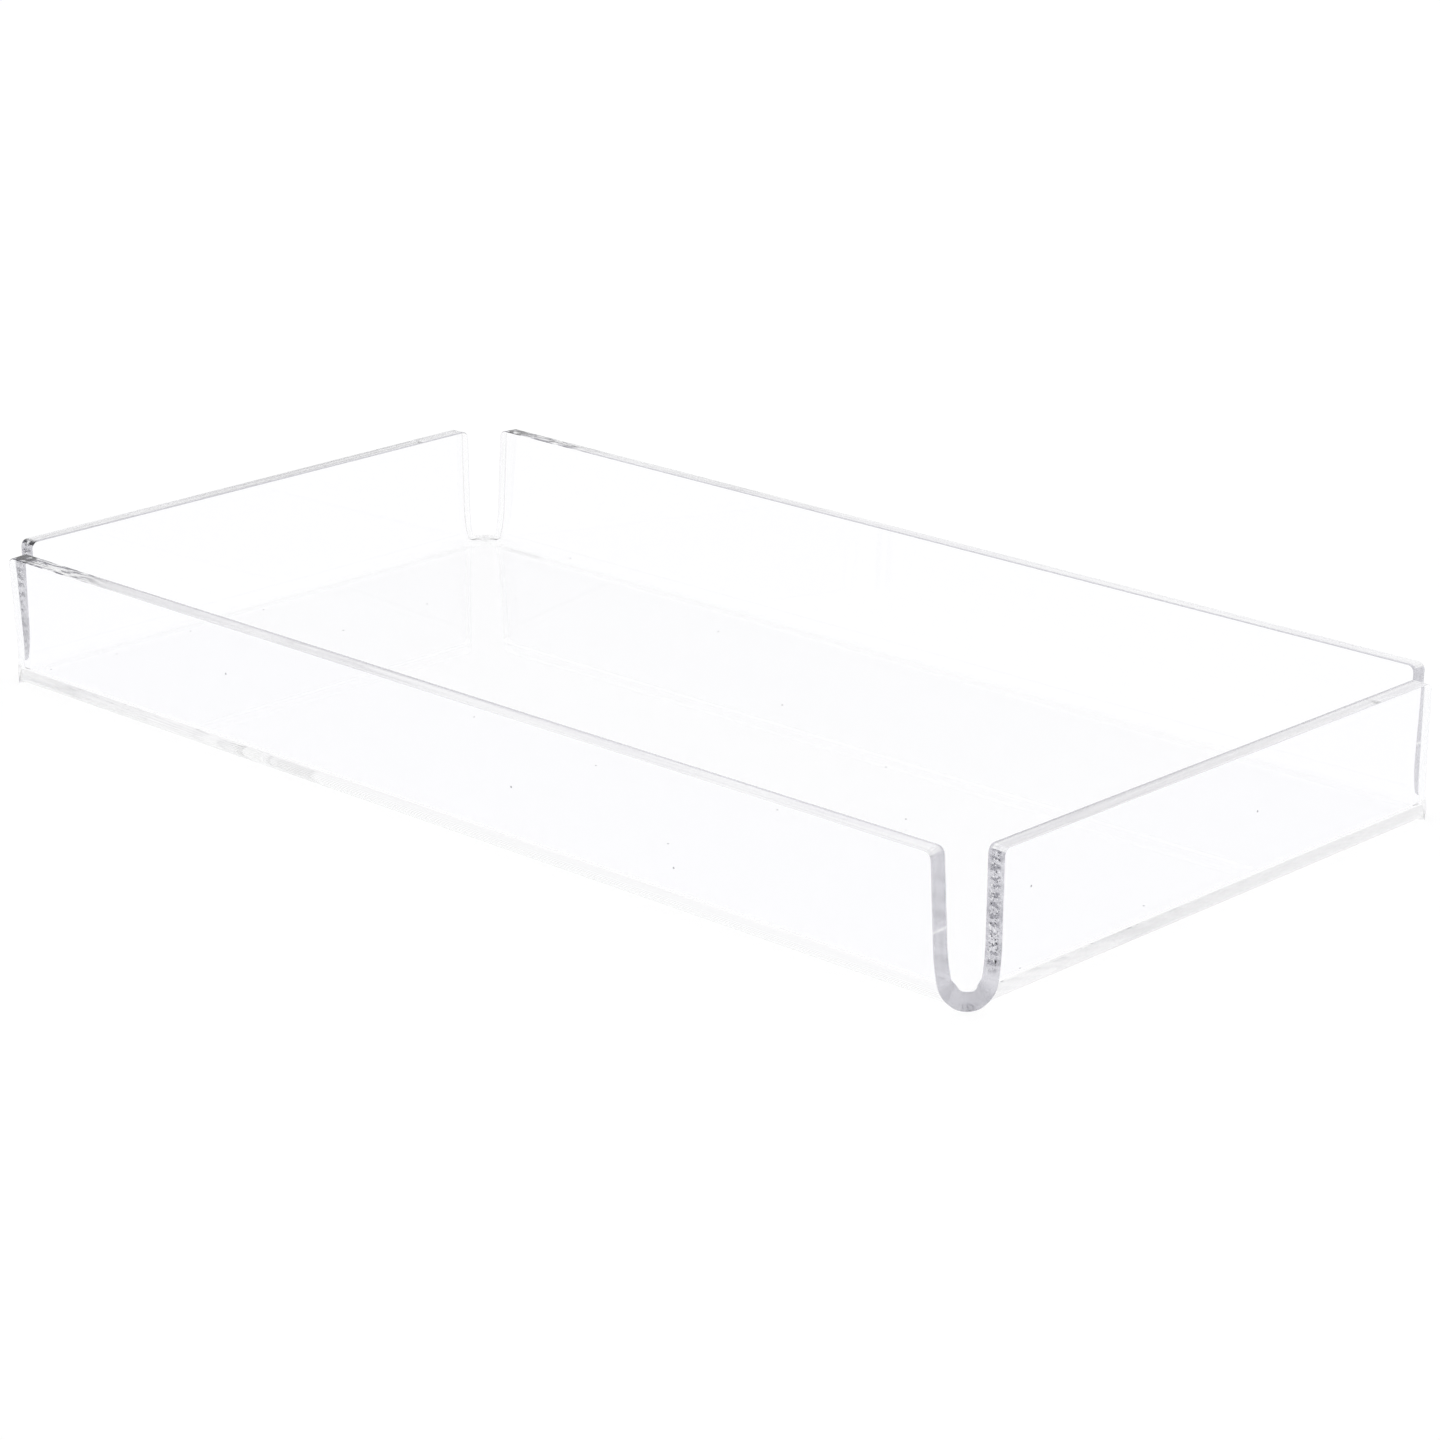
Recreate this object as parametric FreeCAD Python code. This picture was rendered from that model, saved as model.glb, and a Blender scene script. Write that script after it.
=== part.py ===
"""Clear acrylic letter tray, folded from one sheet, with an open notch at each corner.

The blank is a rectangle with a flap on each side. Each flap is folded up along a heated line
to make a wall, and no wall meets its neighbour, so every corner keeps an upright slot.
The sheet is written as nine solids that touch face to face: the floor, the four heat-formed
bends and the four walls. Lengths are in millimetres and angles in degrees.

Frame: origin at the centre of the underside, +X along the long side, +Z up. The front is -Y.
"""
import FreeCAD, Part
import math
import os

# Sheet and overall size
SHEET = 6.0                 # gauge of the sheet
LENGTH = 440.0              # over the end walls, where their outsides would meet the underside
WIDTH = 230.0               # over the long walls, measured the same way
HEIGHT = 48.0               # underside to the top of the walls

# Folds
BEND_INNER_RADIUS = 2.0     # inside of a fold, along the heated line
LONG_WALL_LEAN = 3.5        # how far the front and back walls stop short of upright
END_WALL_LEAN = 0.8         # the same for the left and right walls

# Cut outline
CORNER_SETBACK = 12.8       # from an outside corner of the tray to the cut end of each wall
FLOOR_CORNER_REACH = 0.8    # from the heated lines out to the edges of the floor's corners
FLOOR_CORNER_RADIUS = 6.0   # floor corners, in plan
WALL_CORNER_RADIUS = 2.5    # top corners of every wall

UP = FreeCAD.Vector(0, 0, 1)
ALONG = FreeCAD.Vector(1, 0, 0)
BEND_OUTER_RADIUS = BEND_INNER_RADIUS + SHEET


class Fold:
    """One folded side, drawn as the front one: +X along the fold, -Y outwards."""

    def __init__(self, side_length, lean):
        self.run = side_length - 2 * CORNER_SETBACK
        self.lean = math.radians(lean)
        self.turn = math.pi / 2 - self.lean
        # The outside of the wall, carried on downwards, meets the underside at y = 0.
        self.axis_y = BEND_OUTER_RADIUS * (1 - math.sin(self.lean)) / math.cos(self.lean)
        self.axis_z = BEND_OUTER_RADIUS
        # The sheet keeps its length half way through its thickness, so half of that arc
        # leads from the start of the fold to the line that the heater followed.
        middle_radius = BEND_INNER_RADIUS + SHEET / 2
        self.heated_line_y = self.axis_y - middle_radius * self.turn / 2

    def point(self, radius, turn, x=0.0):
        """A point at a radius from the fold's axis, turned up from straight below it."""
        y = self.axis_y - radius * math.sin(turn)
        z = self.axis_z - radius * math.cos(turn)
        return FreeCAD.Vector(x, y, z)

    def bend(self):
        """The heat-formed strip between the floor and the wall."""
        start = -self.run / 2
        arcs = []
        for radius in (BEND_OUTER_RADIUS, BEND_INNER_RADIUS):
            stops = [self.point(radius, self.turn * share, start) for share in (0, 0.5, 1)]
            arcs.append(Part.Arc(*stops).toShape())
        foot, top = [Part.LineSegment(self.point(BEND_OUTER_RADIUS, turn, start),
                                      self.point(BEND_INNER_RADIUS, turn, start)).toShape()
                     for turn in (0, self.turn)]
        outline = Part.Wire([arcs[0], top, arcs[1], foot])
        return Part.Face(outline).extrude(ALONG * self.run)

    def wall(self):
        """The flat flap above the bend, with its two top corners rounded."""
        inner_foot_z = self.axis_z - BEND_INNER_RADIUS * math.sin(self.lean)
        rise = (HEIGHT - inner_foot_z) / math.cos(self.lean)
        panel = Part.makeBox(self.run, SHEET, rise, FreeCAD.Vector(-self.run / 2, 0, 0))
        top_corners = [edge for edge in panel.Edges
                       if edge.BoundBox.ZMin > rise / 2 and edge.BoundBox.XLength < SHEET / 2]
        panel = panel.makeFillet(WALL_CORNER_RADIUS, top_corners)
        panel.rotate(FreeCAD.Vector(0, 0, 0), ALONG, math.degrees(self.lean))
        panel.translate(self.point(BEND_OUTER_RADIUS, self.turn))
        return panel


def make_floor(long_fold, end_fold):
    """The flat bottom: it ends where each fold starts, and its corners pass the heated lines."""
    reach_x = LENGTH / 2 - end_fold.heated_line_y + FLOOR_CORNER_REACH
    reach_y = WIDTH / 2 - long_fold.heated_line_y + FLOOR_CORNER_REACH
    plate = Part.makeBox(2 * reach_x, 2 * reach_y, SHEET, FreeCAD.Vector(-reach_x, -reach_y, 0))
    corners = [edge for edge in plate.Edges if edge.BoundBox.ZLength > SHEET / 2]
    plate = plate.makeFillet(FLOOR_CORNER_RADIUS, corners)
    for fold, half_span, quarter_turns in ((long_fold, WIDTH / 2, (0, 2)),
                                           (end_fold, LENGTH / 2, (1, 3))):
        for quarters in quarter_turns:
            strip = Part.makeBox(fold.run, fold.axis_y, SHEET,
                                 FreeCAD.Vector(-fold.run / 2, -half_span, 0))
            strip.rotate(FreeCAD.Vector(0, 0, 0), UP, 90 * quarters)
            plate = plate.cut(strip)
    return plate


def place_side(shape, half_span, quarters):
    """Move a front-side shape out to its side of the tray."""
    placed = shape.copy()
    placed.translate(FreeCAD.Vector(0, -half_span, 0))
    placed.rotate(FreeCAD.Vector(0, 0, 0), UP, 90 * quarters)
    return placed


def make_tray():
    """Every region of the sheet, by name."""
    long_fold = Fold(LENGTH, LONG_WALL_LEAN)
    end_fold = Fold(WIDTH, END_WALL_LEAN)
    nodes = {"floor_panel": make_floor(long_fold, end_fold)}
    sides = (("front", long_fold, WIDTH / 2, 0), ("right", end_fold, LENGTH / 2, 1),
             ("back", long_fold, WIDTH / 2, 2), ("left", end_fold, LENGTH / 2, 3))
    for side, fold, half_span, quarters in sides:
        nodes[side + "_bend"] = place_side(fold.bend(), half_span, quarters)
        nodes[side + "_wall"] = place_side(fold.wall(), half_span, quarters)
    return nodes


def main():
    os.makedirs("parts", exist_ok=True)
    for name, shape in make_tray().items():
        if not shape.isValid() or len(shape.Solids) != 1:
            raise RuntimeError(name + " is not one valid solid")
        shape.Solids[0].exportStep("parts/" + name + ".step")
        print(name, round(shape.Volume / 1000, 2), "cm3")


main()
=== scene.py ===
"""Looks of a clear letter tray that is folded from one sheet of acrylic.

The tray is made as its maker makes it: a flat blank is cut with a flap on each side, its cut
edges are eased, and the flaps are bent up round hot lines. The corners of the floor, which no
flap holds, are pulled up a little by the bends beside them. All lengths are in metres, and the
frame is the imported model's: +X along the long side, the front at -Y, the underside at z = 0.
"""
import logging
import math
from dataclasses import dataclass, field
from enum import Enum

import bmesh
import bpy
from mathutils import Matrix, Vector


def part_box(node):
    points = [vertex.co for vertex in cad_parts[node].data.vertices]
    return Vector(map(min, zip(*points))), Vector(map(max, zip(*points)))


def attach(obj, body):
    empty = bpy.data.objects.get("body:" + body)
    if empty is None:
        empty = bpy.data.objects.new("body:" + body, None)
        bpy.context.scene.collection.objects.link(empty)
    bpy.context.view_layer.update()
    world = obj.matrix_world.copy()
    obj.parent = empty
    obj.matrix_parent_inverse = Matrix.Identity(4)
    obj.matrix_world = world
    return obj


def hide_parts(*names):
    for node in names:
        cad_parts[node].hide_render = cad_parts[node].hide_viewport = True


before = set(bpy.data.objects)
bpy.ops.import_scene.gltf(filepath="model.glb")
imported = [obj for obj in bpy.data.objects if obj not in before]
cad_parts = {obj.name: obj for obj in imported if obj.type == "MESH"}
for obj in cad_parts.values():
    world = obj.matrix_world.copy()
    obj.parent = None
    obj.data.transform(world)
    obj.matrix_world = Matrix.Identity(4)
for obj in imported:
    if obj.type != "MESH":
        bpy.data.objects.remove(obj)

MM = 0.001
NEAR = 1e-5             # two places closer than this are the same
ON_CUT = 1e-7           # a vertex this close to a cut lies on it
SLIVER = 2e-6           # an edge shorter than this is left over from slicing
NO_SHARE = 1e-3         # a smaller share of a bend leaves the sheet flat
LEVEL = 0.999           # a flat face's normal is at least this upright
ROUND = 0.5             # the profile of a bevel that is part of a circle
FLAT_PLACE = "flat_place"     # the vertex attribute that holds each point's place in the blank
CLEAR = "ffffff"
WAVE_PERIOD = math.pi / 10    # the wave texture repeats after this length at a scale of 1
SMOOTH_STEP = {"interpolation_type": "SMOOTHSTEP"}
MIX_COLOURS = {"data_type": "RGBA"}
Tone = str | bpy.types.NodeSocket    # a hex colour, or the socket that another paint comes from
LOG = logging.getLogger("letter_tray")
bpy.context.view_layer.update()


# ---------------------------------------------------------------- materials

def linear(hex_colour: str) -> tuple[float, float, float, float]:
    """Turn an sRGB hex colour to linear light.

    Args:
        hex_colour: six hex digits, such as "f4f4fa".

    Returns:
        Red, green, blue and an alpha of 1.
    """
    parts = [int(hex_colour[i:i + 2], 16) / 255 for i in (0, 2, 4)]
    light = [p / 12.92 if p <= 0.04045 else ((p + 0.055) / 1.055) ** 2.4 for p in parts]
    return (light[0], light[1], light[2], 1.0)


def add_node(tree: bpy.types.NodeTree, kind: str, settings: dict[str, object] | None = None,
             **inputs: object) -> bpy.types.Node:
    """Add a shader node, set it up and link what feeds it.

    Args:
        tree: the node tree that the node goes in.
        kind: the node's type name, without "ShaderNode".
        settings: properties of the node itself.
        inputs: one per socket, with spaces in its name as underscores. A value is set on the
            socket, and an output socket is linked to it.

    Returns:
        The new node.
    """
    node = tree.nodes.new("ShaderNode" + kind)
    for name, value in (settings or {}).items():
        setattr(node, name, value)
    for name, value in inputs.items():
        key = int(name[1:]) if name[0] == "i" and name[1:].isdigit() else name.replace("_", " ")
        if isinstance(value, bpy.types.NodeSocket):
            tree.links.new(value, node.inputs[key])
        else:
            node.inputs[key].default_value = value
    return node


class Face(Enum):
    """The kinds of surface on a cut and folded sheet, by material index."""

    MOULDED = 0
    RIM = 1
    NOTCH = 2


@dataclass(frozen=True)
class Pmma:
    """Clear cast PMMA: what its body does to light, and the surface that each finish changes.

    Attributes:
        heated: how far from the middle of the blank the hot lines ran, along X and along Y.
        name: what the material is called.
        ior: the refractive index of acrylic.
        tint: the light that a whole pane lets through.
        roughness: how far the surface blurs what is seen in it.
        depth_colour: the body's cast, a faint violet.
        depth_density: how fast the body takes the rest out, per metre.
        hot_width: how far on each side of a hot line the surface softened.
    """

    heated: tuple[float, float]
    name: str = "acrylic"
    ior: float = 1.49
    tint: str = "fefeff"
    roughness: float = 0.0
    depth_colour: tuple[float, float, float] = (0.500, 0.488, 0.558)
    depth_density: float = 0.02
    hot_width: float = 9.0 * MM

    def build(self) -> bpy.types.Material:
        """Make the node material."""
        material = bpy.data.materials.new(self.name)
        material.use_nodes = True
        tree = material.node_tree
        tree.nodes.clear()
        shader = add_node(tree, "BsdfPrincipled", Base_Color=linear(self.tint),
                          Roughness=self.roughness, IOR=self.ior, Transmission_Weight=1.0)
        depth = add_node(tree, "VolumeAbsorption", Color=(*self.depth_colour, 1.0),
                         Density=self.depth_density)
        add_node(tree, "OutputMaterial", Surface=shader.outputs["BSDF"],
                 Volume=depth.outputs["Volume"])
        flat = add_node(tree, "Attribute", {"attribute_name": FLAT_PLACE}).outputs["Vector"]
        self.dress(tree, shader, flat)
        return material

    def dress(self, tree: bpy.types.NodeTree, shader: bpy.types.Node,
              flat: bpy.types.NodeSocket) -> None:
        """Add what sets this finish apart.

        Args:
            tree: the material's nodes.
            shader: its surface.
            flat: where each point was in the flat blank.
        """

    def grains(self, tree: bpy.types.NodeTree, flat: bpy.types.NodeSocket,
               sizes: tuple[float, float, float], **settings: object) -> bpy.types.NodeSocket:
        """Scatter grains that have a real size each way in the flat blank.

        Args:
            tree: the material's nodes.
            flat: where each point was in the flat blank.
            sizes: the size of a grain along X, Y and Z, in metres.
            settings: other sockets of the noise.

        Returns:
            The noise, from 0 to 1.
        """
        place = add_node(tree, "Mapping", Vector=flat, Scale=tuple(1 / size for size in sizes))
        noise = add_node(tree, "TexNoise", Vector=place.outputs["Vector"], Scale=1.0, **settings)
        return noise.outputs["Fac"]

    def past_line(self, tree: bpy.types.NodeTree, flat: bpy.types.NodeSocket,
                  axis: int) -> bpy.types.NodeSocket:
        """Measure how far past a pair of hot lines a point of the blank is.

        Args:
            tree: the material's nodes.
            flat: where each point was in the flat blank.
            axis: 0 for the lines at the left and right, 1 for the front and back.

        Returns:
            The distance outwards from the line, negative on the floor.
        """
        place = add_node(tree, "SeparateXYZ", Vector=flat).outputs[axis]
        far = add_node(tree, "Math", {"operation": "ABSOLUTE"}, i0=place).outputs["Value"]
        return add_node(tree, "Math", {"operation": "SUBTRACT"}, i0=far,
                        i1=self.heated[axis]).outputs["Value"]

    def paint(self, tree: bpy.types.NodeTree, ground: Tone,
              coats: list[tuple[bpy.types.NodeSocket, tuple[float, float], Tone]]
              ) -> bpy.types.NodeSocket:
        """Lay coats over a ground, each where its pattern passes from one level to another.

        Args:
            tree: the material's nodes.
            ground: a hex colour, or the socket of another paint.
            coats: for each, the pattern, the levels where it starts and is full, and the
                hex colour or socket that it lays.

        Returns:
            The colour.
        """
        tone = linear(ground) if isinstance(ground, str) else ground
        for pattern, (start, full), colour in coats:
            share = add_node(tree, "MapRange", SMOOTH_STEP, Value=pattern, From_Min=start,
                             From_Max=full).outputs["Result"]
            top = linear(colour) if isinstance(colour, str) else colour
            mix = add_node(tree, "Mix", MIX_COLOURS, Factor=share, i6=tone, i7=top)
            tone = mix.outputs[2]
        return tone

    def colour_cut_with_painted_shade(self, tree: bpy.types.NodeTree, shader: bpy.types.Node,
                   tone: bpy.types.NodeSocket) -> None:
        """Colour a cut surface from outside, and leave light from within the sheet clear.

        The colour is partly the frosted grey of the cut and partly painted shade, which stands in
        for the darker surround that the cut shows from outside. Light runs along inside the sheet
        and meets its cut edges many times, so a colour on both sides would darken the folds.

        Args:
            tree: the material's nodes.
            shader: its surface.
            tone: the colour as seen from outside.
        """
        # painted shade: the cut's grey is laid only where a ray meets the cut from outside the
        # sheet
        inside = add_node(tree, "NewGeometry").outputs["Backfacing"]
        colour = add_node(tree, "Mix", MIX_COLOURS, Factor=inside, i6=tone, i7=linear(CLEAR))
        tree.links.new(colour.outputs[2], shader.inputs["Base Color"])


@dataclass(frozen=True)
class MouldedFace(Pmma):
    """Cast PMMA as it leaves the glass mould: clear right through and mirror smooth.

    The eye sees a pane with a faint violet cast, reflections that swim a little, fine ripples
    beside the folds where the sheet was hot, and a few specks of dust on the inside.

    Attributes:
        swim_size: the width of the slow waves, as a cast sheet isn't quite flat.
        swim_depth: how deep they are.
        ripple_pitch: from one ripple to the next, away from the fold.
        ripple_run: how long a ripple is along the fold.
        ripple_depth: how deep it is.
        dust_spacing: the side of the space in which one speck may lie.
        dust_size: how far a speck reaches from its middle.
        dust_share: how many of the spaces have a speck.
        dust_level: specks lie on the face above this height of the blank, not underneath.
        dust_core: the share of a speck's reach that is full.
        crisp: a step between a level and this share of it shows no slope.
        dust: the colour of a speck.
    """

    name: str = "cast_acrylic"
    swim_size: float = 55 * MM
    swim_depth: float = 0.012 * MM
    ripple_pitch: float = 3.0 * MM
    ripple_run: float = 150 * MM
    ripple_depth: float = 0.008 * MM
    dust_spacing: float = 34 * MM
    dust_size: float = 0.4 * MM
    dust_share: float = 0.22
    dust_level: float = 3 * MM
    dust_core: float = 0.8
    crisp: float = 0.98
    dust: str = "77757e"

    def dress(self, tree: bpy.types.NodeTree, shader: bpy.types.Node,
              flat: bpy.types.NodeSocket) -> None:
        """Add the swim, the ripples and the dust."""
        swim = self.grains(tree, flat, (self.swim_size,) * 3, Detail=1.0)
        normal = add_node(tree, "Bump", Height=swim, Strength=1.0,
                          Distance=self.swim_depth).outputs["Normal"]
        for axis in (0, 1):
            sizes = [self.ripple_run] * 3
            sizes[axis] = self.ripple_pitch
            ripple = self.grains(tree, flat, tuple(sizes), Detail=0.0)
            gap = add_node(tree, "Math", {"operation": "ABSOLUTE"},
                           i0=self.past_line(tree, flat, axis)).outputs["Value"]
            share = add_node(tree, "MapRange", SMOOTH_STEP, Value=gap, From_Min=self.hot_width,
                             From_Max=0.0).outputs["Result"]
            height = add_node(tree, "Math", {"operation": "MULTIPLY"}, i0=ripple, i1=share)
            normal = add_node(tree, "Bump", Height=height.outputs["Value"], Strength=1.0,
                              Distance=self.ripple_depth, Normal=normal).outputs["Normal"]
        tree.links.new(normal, shader.inputs["Normal"])
        cells = add_node(tree, "TexVoronoi", {"voronoi_dimensions": "2D"}, Vector=flat,
                         Scale=1 / self.dust_spacing)
        lot = add_node(tree, "SeparateColor", Color=cells.outputs["Color"]).outputs["Red"]
        level = add_node(tree, "SeparateXYZ", Vector=flat).outputs["Z"]
        speck = self.dust_size / self.dust_spacing
        tone = self.paint(tree, self.tint, [
            (cells.outputs["Distance"], (speck, self.dust_core * speck), self.dust)])
        tone = self.paint(tree, self.tint, [
            (lot, (self.dust_share, self.crisp * self.dust_share), tone)])
        tone = self.paint(tree, self.tint, [
            (level, (self.crisp * self.dust_level, self.dust_level), tone)])
        tree.links.new(tone, shader.inputs["Base Color"])


@dataclass(frozen=True)
class PolishedRim(Pmma):
    """The walls' top edges, sawn and then flame polished.

    The eye sees a bright, slightly wavy strip with fine lines along it. Its grey is partly
    painted shade, and the darker strip beside its inner edge is painted shade, both standing in
    for the darker surround seen through the edge. At the left ends, where each pass of the
    flame started and dwelt, the strip has black blisters and then smoky streaks.

    Attributes:
        line_size: the fine saw lines, long along the rim and narrow across it.
        line_levels: where the pale lines start and are full in their noise.
        pale: their colour.
        line: the colour of the painted shade strip beside the inner edge.
        inner_shade_strip: where that strip starts and is full, in the height of the blank.
        wave_size: the width of the waves that the flame left.
        wave_depth: how deep they are.
        smoke_size: the smoky streaks, long along the rim.
        smoke_levels: where the smoke starts and is full in its noise.
        smoke: its colour.
        gap_levels: the same for the clear gaps in it, from the noise's other end.
        smoke_end: where along X the smoke starts and is full.
        blister_size: the size of a blister each way.
        blister_levels: where the blisters start and are full in their noise.
        blister: their colour.
        blister_end: where along X they start and are full.
        burnt_aside: how far to the side along Y the burns start and are full, which keeps
            the middle of the left wall clear.
    """

    name: str = "flame_polished_acrylic"
    # partly painted shade: the rim's grey stands in for the surround seen through it
    tint: str = "e8e7ed"
    roughness: float = 0.04
    line_size: tuple[float, float, float] = (60 * MM, 60 * MM, 0.9 * MM)
    line_levels: tuple[float, float] = (0.40, 0.60)
    pale: str = "fbfbfd"
    # painted shade: the darker strip beside the rim's inner edge
    line: str = "b2b1bb"
    inner_shade_strip: tuple[float, float] = (4.4 * MM, 5.4 * MM)
    wave_size: float = 9 * MM
    wave_depth: float = 0.05 * MM
    smoke_size: tuple[float, float, float] = (7 * MM, 7 * MM, 1.1 * MM)
    smoke_levels: tuple[float, float] = (0.47, 0.53)
    smoke: str = "4a4954"
    gap_levels: tuple[float, float] = (0.44, 0.40)
    smoke_end: tuple[float, float] = (-150 * MM, -175 * MM)
    blister_size: tuple[float, float, float] = (3.0 * MM, 3.0 * MM, 3.0 * MM)
    blister_levels: tuple[float, float] = (0.46, 0.50)
    blister: str = "08080c"
    blister_end: tuple[float, float] = (-192 * MM, -199 * MM)
    burnt_aside: tuple[float, float] = (98.5 * MM, 101 * MM)

    def dress(self, tree: bpy.types.NodeTree, shader: bpy.types.Node,
              flat: bpy.types.NodeSocket) -> None:
        """Add the lines, the waves, the smoky streaks and the blisters."""
        wave = self.grains(tree, flat, (self.wave_size,) * 3, Detail=2.0)
        bump = add_node(tree, "Bump", Height=wave, Strength=1.0, Distance=self.wave_depth)
        tree.links.new(bump.outputs["Normal"], shader.inputs["Normal"])
        place = add_node(tree, "SeparateXYZ", Vector=flat)
        aside = add_node(tree, "Math", {"operation": "ABSOLUTE"}, i0=place.outputs["Y"])
        lines = self.grains(tree, flat, self.line_size, Detail=2.0)
        # painted shade: the darker strip beside the inner edge is laid over the saw lines
        clean = self.paint(tree, self.tint, [
            (lines, self.line_levels, self.pale), (place.outputs["Z"], self.inner_shade_strip, self.line)])
        streaks = self.grains(tree, flat, self.smoke_size, Detail=2.0)
        smoky = self.paint(tree, clean, [
            (streaks, self.smoke_levels, self.smoke), (streaks, self.gap_levels, CLEAR)])
        lumps = self.grains(tree, flat, self.blister_size, Detail=2.0)
        blistered = self.paint(tree, smoky, [(lumps, self.blister_levels, self.blister)])
        burnt = self.paint(tree, clean, [(place.outputs["X"], self.smoke_end, smoky),
                                         (place.outputs["X"], self.blister_end, blistered)])
        tone = self.paint(tree, clean, [(aside.outputs["Value"], self.burnt_aside, burnt)])
        self.colour_cut_with_painted_shade(tree, shader, tone)


@dataclass(frozen=True)
class RoutedNotch(Pmma):
    """The corner notches as the router leaves them.

    The eye sees a grey, half-clear band. Its grey is partly the frosted cut and partly painted
    shade for the darker surround seen in it. On the ends of the end walls the cutter met the sheet
    against its turn and left chatter marks with pits and chips between them; the dark of the
    marks and pits is painted shade in the hollows. Where the band enters the fold the heat has
    made it smoother and paler. Round the floor's corner it is darker with painted shade, and
    low down near the corner's tip it is darker still in patches.

    Each pair of levels says where a mark starts and is full in its pattern.

    Attributes:
        pale: the paler streaks, the melted shoulders and the ground of the end walls' ends.
        dark: the blotches on that ground.
        shaded_bowl: the ground round the floor's corner.
        low_dark_patch: the darker patches low down near the corner's tip.
        gouge_shade: the chatter marks.
        pit_shade: the pits between them.
        streak_size: streaks along the cut, long and thin.
        streak_levels: where the streaks pass from the tint to the pale colour.
        bowl_levels: where they pass to the tint round the floor's corner.
        blotch_size: the size of a blotch each way.
        blotch_levels: where the blotches darken the ground.
        pit_size: how big the pits are each way.
        pit_levels: where the pits are.
        chip_levels: where the bright chips are.
        low_dark_patch_levels: where the darker patches show, in the noise of the pits.
        chatter_pitch: from one chatter mark to the next.
        chatter_warp: how uneven they are.
        chatter_levels: where they show.
        chatter_half: how far on each side of the sheet's middle they reach.
        mark_depth: how deep the marks are cut.
        middle_level: the height of the sheet's middle in the blank.
        pause: how far past the hot line the cutter paused on the long walls' ends.
        pause_width: how far on each side of there the bright line starts and is full.
        shoulder: how far past a hot line the melted shoulder starts and is full.
        bowl_rise: how far past a hot line the floor's corner starts and is full.
        tip: how far past both hot lines the corner's tip starts and is full.
        low_dark_patch_height: where the darker patches start and are full, in the height of the
            blank.
    """

    name: str = "routed_acrylic"
    # partly painted shade: the grey ground of the cut stands in partly for the surround seen in it
    tint: str = "adacb6"
    roughness: float = 0.12
    pale: str = "c2c1cb"
    dark: str = "85848e"
    # painted shade: the ground is darker round the floor's corner
    shaded_bowl: str = "a4a3ad"
    low_dark_patch: str = "64636d"
    # painted shade in the grooves of the chatter marks
    gouge_shade: str = "6c6b75"
    # painted shade: the pits are near black
    pit_shade: str = "060609"
    streak_size: tuple[float, float, float] = (12 * MM, 12 * MM, 0.8 * MM)
    streak_levels: tuple[float, float] = (0.35, 0.65)
    bowl_levels: tuple[float, float] = (0.45, 0.65)
    blotch_size: tuple[float, float, float] = (2.4 * MM, 2.4 * MM, 4 * MM)
    blotch_levels: tuple[float, float] = (0.30, 0.75)
    pit_size: tuple[float, float, float] = (0.6 * MM, 0.6 * MM, 0.7 * MM)
    pit_levels: tuple[float, float] = (0.37, 0.33)
    chip_levels: tuple[float, float] = (0.64, 0.68)
    low_dark_patch_levels: tuple[float, float] = (0.60, 0.42)
    chatter_pitch: float = 2.8 * MM
    chatter_warp: float = 5.0
    chatter_levels: tuple[float, float] = (0.22, 0.36)
    chatter_half: tuple[float, float] = (2.4 * MM, 1.3 * MM)
    mark_depth: float = 0.05 * MM
    middle_level: float = 3 * MM
    pause: float = 19.5 * MM
    pause_width: tuple[float, float] = (0.4 * MM, 0.15 * MM)
    shoulder: tuple[float, float] = (8 * MM, 4.5 * MM)
    bowl_rise: tuple[float, float] = (4.2 * MM, 1.5 * MM)
    tip: tuple[float, float] = (-4.0 * MM, -1.5 * MM)
    low_dark_patch_height: tuple[float, float] = (3.4 * MM, 1.8 * MM)

    def dress(self, tree: bpy.types.NodeTree, shader: bpy.types.Node,
              flat: bpy.types.NodeSocket) -> None:
        """Add the streaks, the chatter, the melted shoulders, the painted shade and the darker low
        patches.
        """
        streak = self.grains(tree, flat, self.streak_size, Detail=3.0)
        blotch = self.grains(tree, flat, self.blotch_size, Detail=2.0)
        pits = self.grains(tree, flat, self.pit_size, Detail=1.0)
        band = add_node(tree, "TexWave", Vector=flat, Scale=WAVE_PERIOD / self.chatter_pitch,
                        Distortion=self.chatter_warp, Detail=2.0, Detail_Scale=2.0).outputs["Fac"]
        chatter = add_node(tree, "Math", {"operation": "MULTIPLY"}, i0=band, i1=blotch)
        level = add_node(tree, "SeparateXYZ", Vector=flat).outputs["Z"]
        middle = add_node(tree, "Math", {"operation": "SUBTRACT"}, i0=level,
                          i1=self.middle_level).outputs["Value"]
        aside = add_node(tree, "Math", {"operation": "ABSOLUTE"}, i0=middle).outputs["Value"]
        past = [self.past_line(tree, flat, axis) for axis in (0, 1)]
        highest = add_node(tree, "Math", {"operation": "MAXIMUM"}, i0=past[0],
                           i1=past[1]).outputs["Value"]
        lowest = add_node(tree, "Math", {"operation": "MINIMUM"}, i0=past[0],
                          i1=past[1]).outputs["Value"]

        smooth = self.paint(tree, self.tint, [(streak, self.streak_levels, self.pale)])
        pause = add_node(tree, "Math", {"operation": "SUBTRACT"}, i0=past[1], i1=self.pause)
        pause = add_node(tree, "Math", {"operation": "ABSOLUTE"}, i0=pause.outputs["Value"])
        smooth = self.paint(tree, smooth, [
            (pause.outputs["Value"], self.pause_width, CLEAR)])
        dull = self.paint(tree, self.pale, [(blotch, self.blotch_levels, self.dark)])
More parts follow.
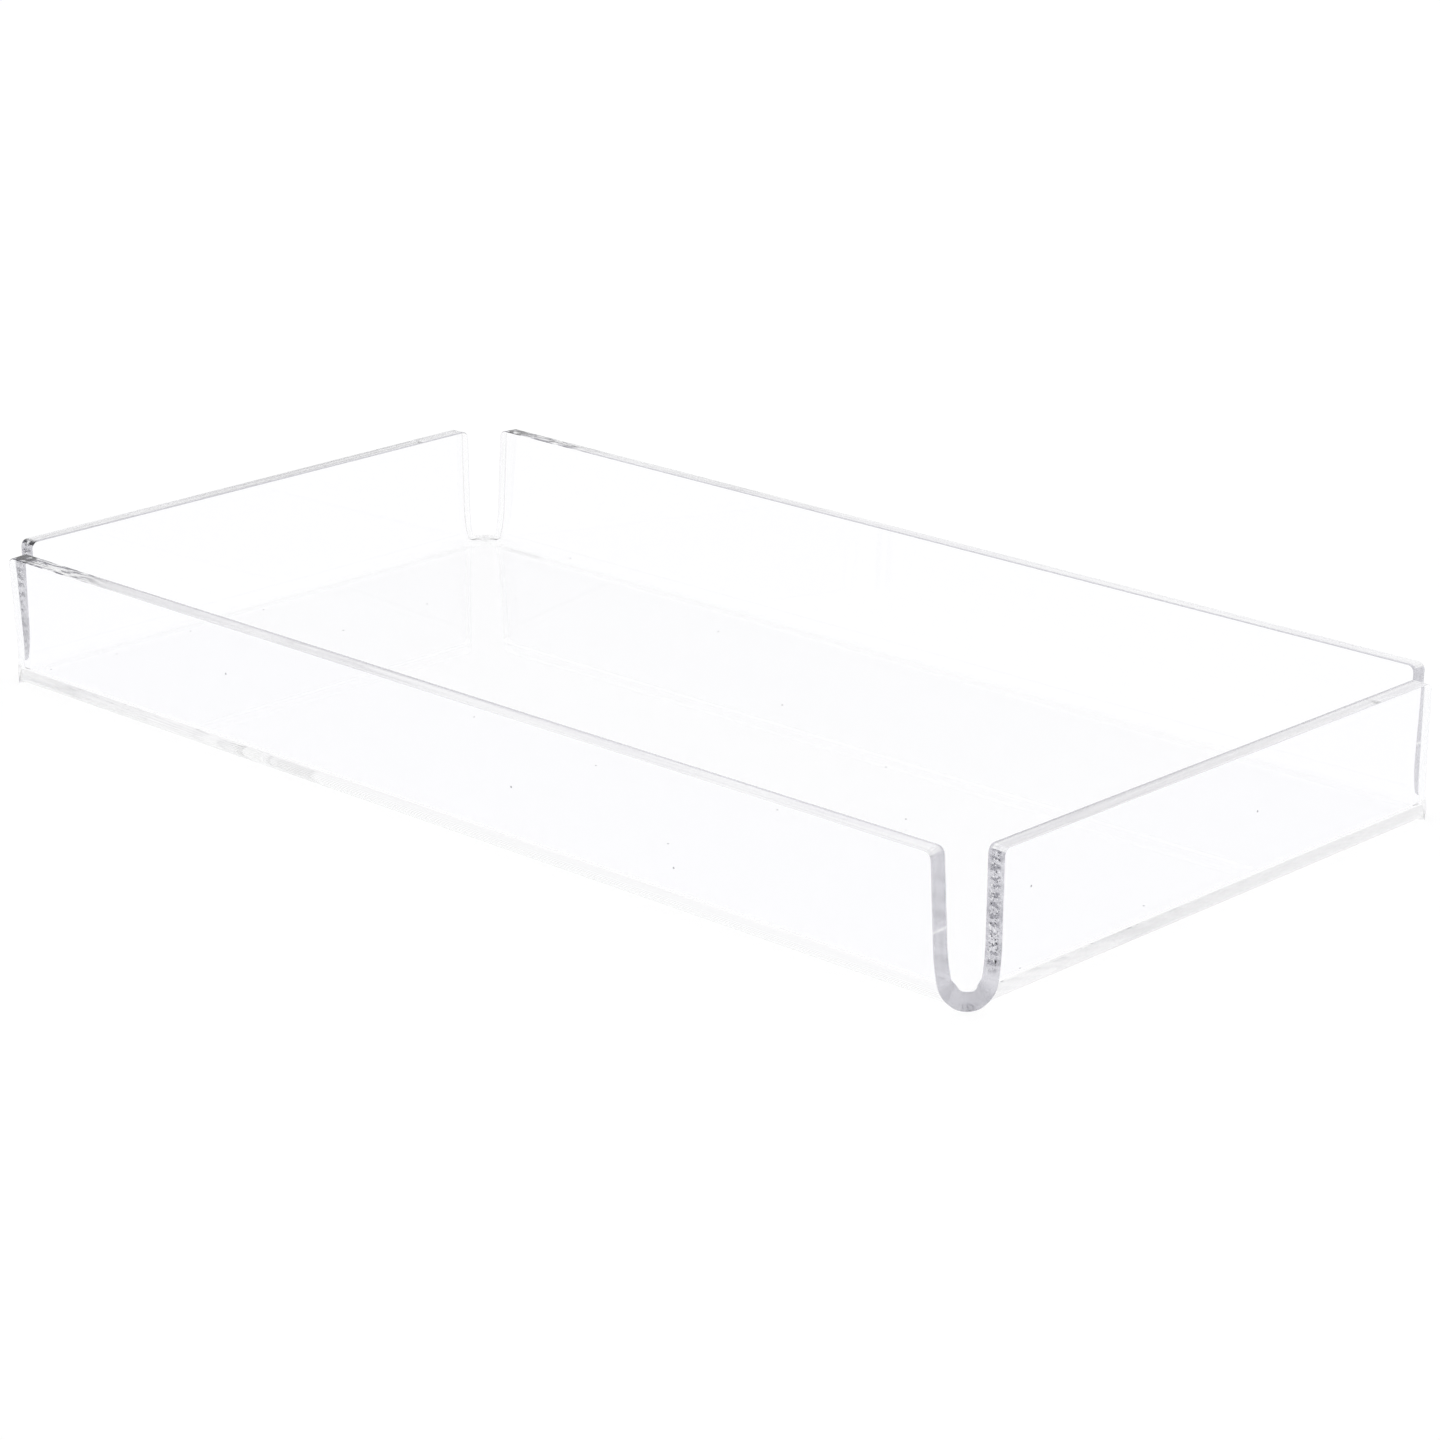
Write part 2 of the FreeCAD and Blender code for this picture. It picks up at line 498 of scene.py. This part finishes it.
        # painted shade: the chatter marks and pits are darkened
        cut = self.paint(tree, dull, [
            (chatter.outputs["Value"], self.chatter_levels, self.gouge_shade),
            (pits, self.pit_levels, self.pit_shade), (pits, self.chip_levels, CLEAR)])
        marked = self.paint(tree, dull, [(aside, self.chatter_half, cut)])
        tone = self.paint(tree, smooth, [(past[0], (0.0, self.hot_width), marked)])

        # painted shade: the band is darker round the floor's corner
        shaded_bowl = self.paint(tree, self.shaded_bowl, [(streak, self.bowl_levels, self.tint)])
        # darker in patches towards the bottom of the corner's tip
        low_dark_patched = self.paint(tree, shaded_bowl, [(level, self.low_dark_patch_height, self.low_dark_patch)])
        low_dark_patched = self.paint(tree, shaded_bowl, [(pits, self.low_dark_patch_levels, low_dark_patched)])
        shaded_bowl = self.paint(tree, shaded_bowl, [(lowest, self.tip, low_dark_patched)])
        tone = self.paint(tree, tone, [(highest, self.shoulder, self.pale),
                                       (highest, self.bowl_rise, shaded_bowl)])
        self.colour_cut_with_painted_shade(tree, shader, tone)

        marks = add_node(tree, "Math", {"operation": "ADD"}, i0=chatter.outputs["Value"], i1=pits)
        share = add_node(tree, "MapRange", SMOOTH_STEP, Value=past[0], From_Min=0.0,
                         From_Max=self.hot_width)
        height = add_node(tree, "Math", {"operation": "MULTIPLY"}, i0=marks.outputs["Value"],
                          i1=share.outputs["Result"])
        bump = add_node(tree, "Bump", Height=height.outputs["Value"], Strength=1.0,
                        Distance=self.mark_depth)
        tree.links.new(bump.outputs["Normal"], shader.inputs["Normal"])


# ---------------------------------------------------------------- the folded sheet

@dataclass(frozen=True)
class Fold:
    """One pair of opposite folds, measured outwards from the middle of the tray.

    Attributes:
        start: where the flat floor ends.
        radius: the outside of the bend.
        lean: how far the wall stops short of upright, in radians.
        run: the length of the fold and of the wall above it.
        rise: the flat wall beyond the bend.
        sheet: the gauge of the sheet.
    """

    start: float
    radius: float
    lean: float
    run: float
    rise: float
    sheet: float

    @classmethod
    def from_frame(cls, side: str, out: int, sheet: float) -> "Fold":
        """Work a fold out from the bend and wall nodes of one side.

        Args:
            side: the side's name in the frame, on the positive end of its axis.
            out: the axis that points outwards there, 0 for X or 1 for Y.
            sheet: the gauge of the sheet.

        Returns:
            The fold.
        """
        bend_low, bend_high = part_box(side + "_bend")
        wall_low, wall_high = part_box(side + "_wall")
        depth, foot = bend_high[out] - bend_low[out], wall_low.z
        radius = (depth ** 2 + foot ** 2) / (2 * foot)
        lean = math.asin(1 - foot / radius)
        inner_foot = radius - (radius - sheet) * math.sin(lean)
        return cls(start=bend_low[out], radius=radius, lean=lean,
                   run=wall_high[1 - out] - wall_low[1 - out],
                   rise=(wall_high.z - inner_foot) / math.cos(lean), sheet=sheet)

    @property
    def middle(self) -> float:
        """The bend's radius half way through the sheet, where its length doesn't change."""
        return self.radius - self.sheet / 2

    @property
    def arc(self) -> float:
        """The length of blank that the bend takes up."""
        return self.middle * (math.pi / 2 - self.lean)

    @property
    def end(self) -> float:
        """The edge of the flap in the flat blank."""
        return self.start + self.arc + self.rise

    def bent(self, out: float, height: float, share: float) -> tuple[float, float]:
        """Carry a point of the flat blank to where the fold takes it.

        Args:
            out: its distance from the middle of the tray, always positive.
            height: its height in the blank.
            share: how much of the full bend is felt there, from 0 to 1.

        Returns:
            Its new distance and height.
        """
        past = out - self.start
        if past <= 0 or share < NO_SHARE:
            return out, height
        axis = self.sheet / 2 + self.middle / share
        turn = share * min(past, self.arc) / self.middle
        straight = max(past - self.arc, 0.0)
        return (self.start + (axis - height) * math.sin(turn) + straight * math.cos(turn),
                axis - (axis - height) * math.cos(turn) + straight * math.sin(turn))


@dataclass
class FoldedSheet:
    """The tray itself, one sheet from flap to flap.

    Attributes:
        floor_corner: radius of the floor's corners in plan.
        flare: how much wider a flap is at its root, at each end.
        flare_rise: how far up the flap its end is straight again.
        flare_blend: how much of each line the change of direction takes up there.
        root_fillet: radius where a flap's end meets the floor's edge.
        wall_corner: radius of the top corners of the walls.
        eased: how far the sharp cut edges are taken off.
        pull_start: how far past a flap's end its bend is still whole.
        pull: the length over which it then falls to nothing.
        bend_steps: strips across each bend.
        pull_steps: strips across the part that is pulled up.
        corner_steps: sides of each rounded corner.
        eased_steps: sides of each eased edge.
    """

    floor_corner: float = 6.0 * MM
    flare: float = 1.5 * MM
    flare_rise: float = 9.0 * MM
    flare_blend: float = 4.5 * MM
    root_fillet: float = 4.5 * MM
    wall_corner: float = 2.5 * MM
    eased: float = 0.2 * MM
    pull_start: float = 0.75 * MM
    pull: float = 6.5 * MM
    bend_steps: int = 20
    pull_steps: int = 12
    corner_steps: int = 8
    eased_steps: int = 2
    sheet: float = field(init=False)
    reach: Vector = field(init=False)
    folds: tuple[Fold, Fold] = field(init=False)

    def __post_init__(self) -> None:
        """Read the sizes of the sheet from the frame."""
        self.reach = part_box("floor_panel")[1]
        self.sheet = self.reach.z
        self.folds = (Fold.from_frame("right", 0, self.sheet),
                      Fold.from_frame("back", 1, self.sheet))

    def cut_blank(self) -> bmesh.types.BMesh:
        """Cut the flat outline: a floor with four flaps and rounded corners.

        Returns:
            The blank as one flat face.
        """
        blank = bmesh.new()
        bmesh.ops.create_grid(blank, x_segments=1, y_segments=1, size=1.0)
        bmesh.ops.scale(blank, vec=(self.reach.x, self.reach.y, 1.0), verts=blank.verts)
        for out, fold in enumerate(self.folds):
            root = fold.run / 2 + self.flare
            for place in (-root, root):
                self.slice_across(blank, 1 - out, place)
        for out in (0, 1):
            for sign in (-1, 1):
                self.grow_flap(blank, out, sign)
        bmesh.ops.dissolve_faces(blank, faces=blank.faces)
        self.round_corners(blank)
        return blank

    def grow_flap(self, blank: bmesh.types.BMesh, out: int, sign: int) -> None:
        """Draw a flap out from the floor's edge: first its flared root, then the rest.

        Args:
            blank: the blank that it belongs to.
            out: the axis that points outwards there.
            sign: which end of that axis.
        """
        fold = self.folds[out]
        root = fold.run / 2 + self.flare
        edges = [e for e in blank.edges if all(
            abs(v.co[out] - sign * self.reach[out]) < NEAR
            and abs(v.co[1 - out]) < root + NEAR for v in e.verts)]
        squeeze = Vector((1, 1, 1))
        squeeze[1 - out] = fold.run / 2 / root
        rest = fold.end - self.reach[out] - self.flare_rise
        for length, scale in ((self.flare_rise, squeeze), (rest, Vector((1, 1, 1)))):
            grown = bmesh.ops.extrude_edge_only(blank, edges=edges)["geom"]
            tip = [v for v in grown if isinstance(v, bmesh.types.BMVert)]
            edges = [e for e in grown if isinstance(e, bmesh.types.BMEdge)
                     and all(v in tip for v in e.verts)]
            outwards = Vector((0, 0, 0))
            outwards[out] = sign * length
            bmesh.ops.translate(blank, vec=outwards, verts=tip)
            bmesh.ops.scale(blank, vec=scale, verts=tip)

    def slice_across(self, mesh: bmesh.types.BMesh, axis: int, place: float) -> None:
        """Cut the mesh's faces where a plane square to an axis meets them.

        Args:
            mesh: the mesh to cut.
            axis: 0 for X or 1 for Y.
            place: where on that axis.
        """
        normal = Vector((0, 0, 0))
        normal[axis] = 1.0
        everything = list(mesh.verts) + list(mesh.edges) + list(mesh.faces)
        bmesh.ops.bisect_plane(mesh, geom=everything, dist=ON_CUT, plane_co=normal * place,
                               plane_no=normal)

    def round_corners(self, blank: bmesh.types.BMesh) -> None:
        """Round every corner of the outline, the same in all four quarters."""
        kinds = [(self.floor_corner, self.corners_at(blank, 0, self.reach.x, self.reach.y))]
        for out, fold in enumerate(self.folds):
            edge, half = self.reach[out], fold.run / 2
            kinds += [
                (self.root_fillet, self.corners_at(blank, out, edge, half + self.flare)),
                (self.flare_blend, self.corners_at(blank, out, edge + self.flare_rise, half)),
                (self.wall_corner, self.corners_at(blank, out, fold.end, half))]
        for radius, corners in kinds:
            bmesh.ops.bevel(blank, geom=corners, offset=radius, offset_type="OFFSET",
                            segments=self.corner_steps, profile=ROUND, material=-1,
                            affect="VERTICES")

    def corners_at(self, blank: bmesh.types.BMesh, out: int, far: float,
                   aside: float) -> list[bmesh.types.BMVert]:
        """Find the corners of the outline at a place, in all four quarters.

        Args:
            blank: the blank to look in.
            out: the axis that points outwards there.
            far: the distance from the middle on that axis.
            aside: the distance from the middle on the other one.

        Returns:
            The corners.
        """
        return [v for v in blank.verts if abs(abs(v.co[out]) - far) < NEAR
                and abs(abs(v.co[1 - out]) - aside) < NEAR]

    def thicken(self, blank: bmesh.types.BMesh) -> None:
        """Give the blank its gauge, ease its cut edges and say what finish each face has."""
        top = bmesh.ops.extrude_face_region(blank, geom=list(blank.faces))["geom"]
        bmesh.ops.translate(blank, vec=(0, 0, self.sheet),
                            verts=[v for v in top if isinstance(v, bmesh.types.BMVert)])
        bmesh.ops.recalc_face_normals(blank, faces=blank.faces)
        rims = [e for e in blank.edges if abs(e.verts[0].co.z - e.verts[1].co.z) < self.eased]
        bmesh.ops.bevel(blank, geom=rims, offset=self.eased, offset_type="OFFSET",
                        segments=self.eased_steps, profile=ROUND, material=-1, affect="EDGES")
        for face in blank.faces:
            middle = face.calc_center_median()
            on_rim = any(abs(middle[out]) > fold.end - self.wall_corner / 2
                         for out, fold in enumerate(self.folds))
            cut = Face.RIM if on_rim else Face.NOTCH
            face.material_index = (Face.MOULDED if abs(face.normal.z) > LEVEL else cut).value

    def slice_for_bending(self, blank: bmesh.types.BMesh) -> None:
        """Cut the blank into strips that bend smoothly, and clear the slivers that this leaves."""
        for out, fold in enumerate(self.folds):
            side = self.folds[1 - out]
            past_flap = side.run / 2
            pulled = fold.start - past_flap
            places = [past_flap + pulled * i / self.pull_steps for i in range(self.pull_steps)]
            places += [fold.start + fold.arc * i / self.bend_steps
                       for i in range(self.bend_steps + 1)]
            for place in places:
                for sign in (-1, 1):
                    self.slice_across(blank, out, sign * place)
        bmesh.ops.dissolve_degenerate(blank, dist=SLIVER, edges=blank.edges)

    def share(self, out: int, along: float) -> float:
        """How much of a fold is felt at a distance along it.

        Args:
            out: which fold, by the axis that it faces.
            along: the distance from the middle of the fold.

        Returns:
            1 on the flap, falling smoothly to 0 at the end of the pull.
        """
        past_root = along - self.folds[out].run / 2 - self.pull_start
        u = min(max(past_root / self.pull, 0.0), 1.0)
        return 1 - u * u * (3 - 2 * u)

    def fold_up(self, blank: bmesh.types.BMesh) -> None:
        """Bend the four flaps up, and pull the floor's corners after them."""
        flat = blank.verts.layers.float_vector.new(FLAT_PLACE)
        for vert in blank.verts:
            vert[flat] = vert.co
            x, y, z = vert.co
            far_x, far_y = abs(x), abs(y)
            share_y, share_x = self.share(1, far_x), self.share(0, far_y)
            new_y, z = self.folds[1].bent(far_y, z, share_y)
            new_x, z = self.folds[0].bent(far_x, z, share_x)
            vert.co = (math.copysign(new_x, x), math.copysign(new_y, y), z)

    def build(self) -> bpy.types.Object:
        """Make the finished sheet and stand it in for every node of the frame.

        Returns:
            The piece.
        """
        blank = self.cut_blank()
        self.thicken(blank)
        self.slice_for_bending(blank)
        self.fold_up(blank)
        mesh = bpy.data.meshes.new("folded_sheet")
        blank.to_mesh(mesh)
        blank.free()
        mesh.shade_smooth()
        piece = bpy.data.objects.new("folded_sheet", mesh)
        bpy.context.scene.collection.objects.link(piece)
        piece.modifiers.new("flat_faces_stay_flat", "WEIGHTED_NORMAL").mode = "FACE_AREA"
        heated = tuple(fold.start + fold.arc / 2 for fold in self.folds)
        for finish in (MouldedFace, PolishedRim, RoutedNotch):
            mesh.materials.append(finish(heated).build())
        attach(piece, "root")
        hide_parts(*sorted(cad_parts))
        LOG.info("folded_sheet: %d vertices, %d faces", len(mesh.vertices), len(mesh.polygons))
        return piece


# ---------------------------------------------------------------- studio

@dataclass
class Studio:
    """Backlit white paper, soft light all round and the camera.

    Attributes:
        floor_size: the side of the square of paper that is the floor.
        floor_gap: how far the floor is below the tray, which rests on a few high spots.
        paper: the colour of the floor's paper.
        paper_glow: the light that comes through the paper from below.
        surround: how bright the surround is, by the sine of the height above the horizon.
        room_side: the way to the open room, behind the camera.
        room_edge: where the room begins and is full, by the cosine of the angle from that way.
        room_dim: how bright the room is.
        camera_place: where the camera stands.
        camera_azimuth: how far it is turned, in degrees.
        camera_elevation: how far it looks down, in degrees.
        lens: its focal length, in the camera's own millimetres.
        sensor: the width of its sensor, in the same.
        camera_range: the nearest and farthest that it sees.
        bounces: how often light may be turned on its way through the sheet.
        paper_bounces: how often light may come back from the paper.
    """

    floor_size: float = 60.0
    floor_gap: float = 0.1 * MM
    paper: str = "808080"
    paper_glow: float = 0.82
    surround: tuple[tuple[float, float], ...] = (
        (0.0, 1.0), (0.06, 1.0), (0.2, 0.93), (0.5, 0.93), (0.8, 1.0), (1.0, 1.0))
    room_side: tuple[float, float, float] = (0.66, -0.69, 0.30)
    room_edge: tuple[float, float] = (0.72, 0.88)
    room_dim: float = 0.3
    camera_place: tuple[float, float, float] = (0.946245, -0.975127, 0.468998)
    camera_azimuth: float = 43.72
    camera_elevation: float = 18.70
    lens: float = 108.97
    sensor: float = 36.0
    camera_range: tuple[float, float] = (0.01, 100.0)
    bounces: int = 400
    paper_bounces: int = 32

    def build(self) -> None:
        """Set up everything that isn't the tray."""
        self.add_floor()
        self.add_light()
        self.add_camera()
        self.set_light_paths()

    def add_floor(self) -> None:
        """Lay the backlit paper that the tray stands on."""
        sheet = bmesh.new()
        bmesh.ops.create_grid(sheet, x_segments=1, y_segments=1, size=self.floor_size / 2)
        bmesh.ops.translate(sheet, vec=(0, 0, -self.floor_gap), verts=sheet.verts)
        mesh = bpy.data.meshes.new("studio_floor")
        sheet.to_mesh(mesh)
        sheet.free()
        material = bpy.data.materials.new("backlit_white_paper")
        material.use_nodes = True
        tree = material.node_tree
        tree.nodes.clear()
        lit = add_node(tree, "BsdfDiffuse", Color=linear(self.paper))
        glow = add_node(tree, "Emission", Strength=self.paper_glow)
        both = add_node(tree, "AddShader", i0=lit.outputs["BSDF"], i1=glow.outputs["Emission"])
        add_node(tree, "OutputMaterial", Surface=both.outputs["Shader"])
        mesh.materials.append(material)
        floor = bpy.data.objects.new("studio_floor", mesh)
        bpy.context.scene.collection.objects.link(floor)

    def add_light(self) -> None:
        """Light the scene from a soft white surround, with the open room behind the camera."""
        world = bpy.data.worlds.new("soft_studio")
        bpy.context.scene.world = world
        world.use_nodes = True
        tree = world.node_tree
        tree.nodes.clear()
        direction = add_node(tree, "TexCoord").outputs["Generated"]
        height = add_node(tree, "SeparateXYZ", Vector=direction).outputs["Z"]
        ramp = add_node(tree, "ValToRGB", Fac=height)
        elements = ramp.color_ramp.elements
        while len(elements) < len(self.surround):
            elements.new(1.0)
        for element, (place, value) in zip(elements, self.surround):
            element.position = place
            element.color = (value, value, value, 1.0)
        toward = add_node(tree, "VectorMath", {"operation": "DOT_PRODUCT"}, i0=direction,
                          i1=self.room_side).outputs["Value"]
        open_side = add_node(tree, "MapRange", SMOOTH_STEP, Value=toward,
                             From_Min=self.room_edge[0], From_Max=self.room_edge[1],
                             To_Min=1.0, To_Max=self.room_dim)
        dimmed = add_node(tree, "Mix", {"data_type": "RGBA", "blend_type": "MULTIPLY"},
                          Factor=1.0, i6=ramp.outputs["Color"],
                          i7=open_side.outputs["Result"])
        light = add_node(tree, "Background", Color=dimmed.outputs[2], Strength=1.0)
        add_node(tree, "OutputWorld", Surface=light.outputs["Background"])

    def add_camera(self) -> None:
        """Place the camera at the near corner, looking a little down."""
        scene = bpy.context.scene
        data = bpy.data.cameras.new("camera")
        data.lens = self.lens
        data.sensor_width = self.sensor
        data.clip_start, data.clip_end = self.camera_range
        camera = bpy.data.objects.new("camera", data)
        scene.collection.objects.link(camera)
        camera.location = self.camera_place
        turn, drop = math.radians(self.camera_azimuth), math.radians(self.camera_elevation)
        camera.rotation_euler = (math.pi / 2 - drop, 0, turn)
        scene.camera = camera

    def set_light_paths(self) -> None:
        """Let light run along inside the sheet, and show white as white."""
        scene = bpy.context.scene
        scene.view_settings.view_transform = "Standard"
        scene.cycles.blur_glossy = 0.0
        scene.cycles.diffuse_bounces = self.paper_bounces
        scene.cycles.max_bounces = self.bounces
        scene.cycles.glossy_bounces = self.bounces
        scene.cycles.transmission_bounces = self.bounces


def main() -> None:
    """Build the tray, then the studio round it."""
    logging.basicConfig(level=logging.INFO, format="%(message)s")
    piece = FoldedSheet().build()
    LOG.info("%s rides on root", piece.name)
    Studio().build()


if __name__ == "__main__":
    main()
